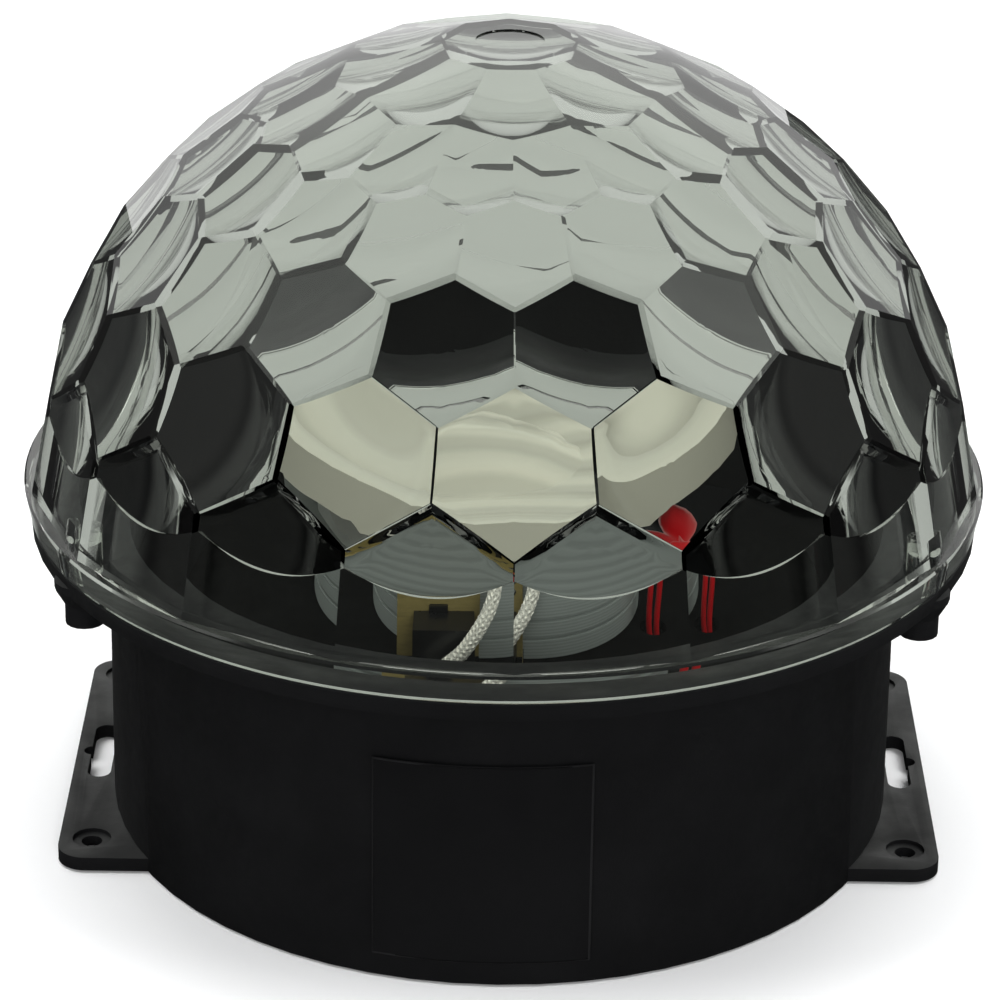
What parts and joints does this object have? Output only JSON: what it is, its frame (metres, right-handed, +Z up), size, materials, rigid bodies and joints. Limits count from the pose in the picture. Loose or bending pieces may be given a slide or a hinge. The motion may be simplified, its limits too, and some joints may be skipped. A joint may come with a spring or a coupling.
{
  "type": "magic ball light",
  "caption": "Round black lamp base with mounting ears under a clear dome of hexagonal lens facets, with a motor-turned lens wheel over lamps on a metal drum.",
  "frame": {"origin": "middle of the underside, on the plane the rubber feet stand on", "axes": "+Z up through the top of the dome, -Y towards the label on the front, +X to the right seen from the front"},
  "size_m": [0.1998, 0.1998, 0.17],
  "materials": {
    "clear_plastic": "clear moulded acrylic, polished",
    "black_plastic": "moulded black plastic, satin",
    "label": "blank printed film",
    "foot_rubber": "matt rubber",
    "screw_steel": "zinc plated",
    "motor_steel": "plated sheet steel",
    "drum_aluminium": "turned and satin",
    "white_board": "white solder mask on a metal board",
    "brown_board": "bare phenolic paper board",
    "green_board": "green solder mask",
    "white_plastic": "moulded acetal",
    "red_insulation": "vinyl insulation",
    "woven_sleeve": "woven glass-fibre sleeve",
    "copper_winding": "enamelled copper wire",
    "brass": "turned",
    "magnet": "pressed ferrite",
    "yellow_tape": "wrapped in polyester tape",
    "blue_plastic": "moulded"
  },
  "bodies": {
    "housing": {"faceted_dome": "clear_plastic", "lamp_1": "clear_plastic", "lamp_2": "clear_plastic", "lamp_3": "clear_plastic", "base_housing": "black_plastic", "bottom_cover": "black_plastic", "inner_floor": "black_plastic", "driver_choke": "black_plastic", "rear_panel": "black_plastic", "mains_inlet": "black_plastic", "switch_body": "black_plastic", "button_body": "black_plastic", "label_plate": "label", "rubber_foot_1": "foot_rubber", "rubber_foot_2": "foot_rubber", "rubber_foot_3": "foot_rubber", "rubber_foot_4": "foot_rubber", "dome_screw_1": "screw_steel", "dome_screw_2": "screw_steel", "dome_screw_3": "screw_steel", "dome_screw_4": "screw_steel", "cover_screw_1": "screw_steel", "cover_screw_2": "screw_steel", "cover_screw_3": "screw_steel", "cover_screw_4": "screw_steel", "motor_screw_1": "screw_steel", "motor_screw_2": "screw_steel", "board_screw_1": "screw_steel", "board_screw_2": "screw_steel", "panel_screw_1": "screw_steel", "panel_screw_2": "screw_steel", "rotor_pin": "screw_steel", "idler_pin": "screw_steel", "motor_can": "motor_steel", "motor_lid": "motor_steel", "lamp_drum": "drum_aluminium", "potentiometer": "drum_aluminium", "microphone": "drum_aluminium", "lamp_board": "white_board", "driver_board": "brown_board", "control_board": "green_board", "red_wire_1": "red_insulation", "red_wire_2": "red_insulation", "white_sleeve": "woven_sleeve", "motor_coil": "copper_winding", "shaft_bush": "brass", "inlet_pin_1": "brass", "inlet_pin_2": "brass", "power_transformer": "yellow_tape", "filter_capacitor": "blue_plastic", "terminal_block": "blue_plastic"},
    "wheel": {"lens_wheel": "clear_plastic", "wheel_hub": "white_plastic", "hub_screw": "screw_steel", "output_shaft": "brass"},
    "idler": {"idler_gear": "white_plastic"},
    "rotor": {"motor_rotor": "magnet"},
    "rocker": {"power_rocker": "black_plastic"},
    "button": {"mode_button": "black_plastic"},
    "knob": {"sensitivity_knob": "black_plastic"}
  },
  "joints": [
    {"name": "wheel_spin", "type": "hinge", "parent": "housing", "child": "wheel", "pos_m": [0, 0, 0.0842], "axis": [0, 0, 1], "continuous": true},
    {"name": "idler_spin", "type": "hinge", "parent": "housing", "child": "idler", "pos_m": [-0.01256, 0, 0.0375], "axis": [0, 0, 1], "continuous": true},
    {"name": "rotor_spin", "type": "hinge", "parent": "housing", "child": "rotor", "pos_m": [0, 0, 0.0317], "axis": [0, 0, 1], "continuous": true},
    {"name": "rocker_tilt", "type": "hinge", "parent": "housing", "child": "rocker", "pos_m": [-0.0195, 0.0725, 0.0255], "axis": [1, 0, 0], "range_deg": [0, 16]},
    {"name": "button_press", "type": "slide", "parent": "housing", "child": "button", "axis": [0, -1, 0], "range_m": [0, 0.0012], "stiffness_N_per_m": 500, "springref_m": -0.0006},
    {"name": "knob_turn", "type": "hinge", "parent": "housing", "child": "knob", "pos_m": [0.008, 0.0778, 0.0336], "axis": [0, -1, 0], "range_deg": [-150, 150]}
  ],
  "couplings": [
    {"joint": "idler_spin", "follows": "wheel_spin", "ratio": -4},
    {"joint": "rotor_spin", "follows": "wheel_spin", "ratio": 16}
  ]
}
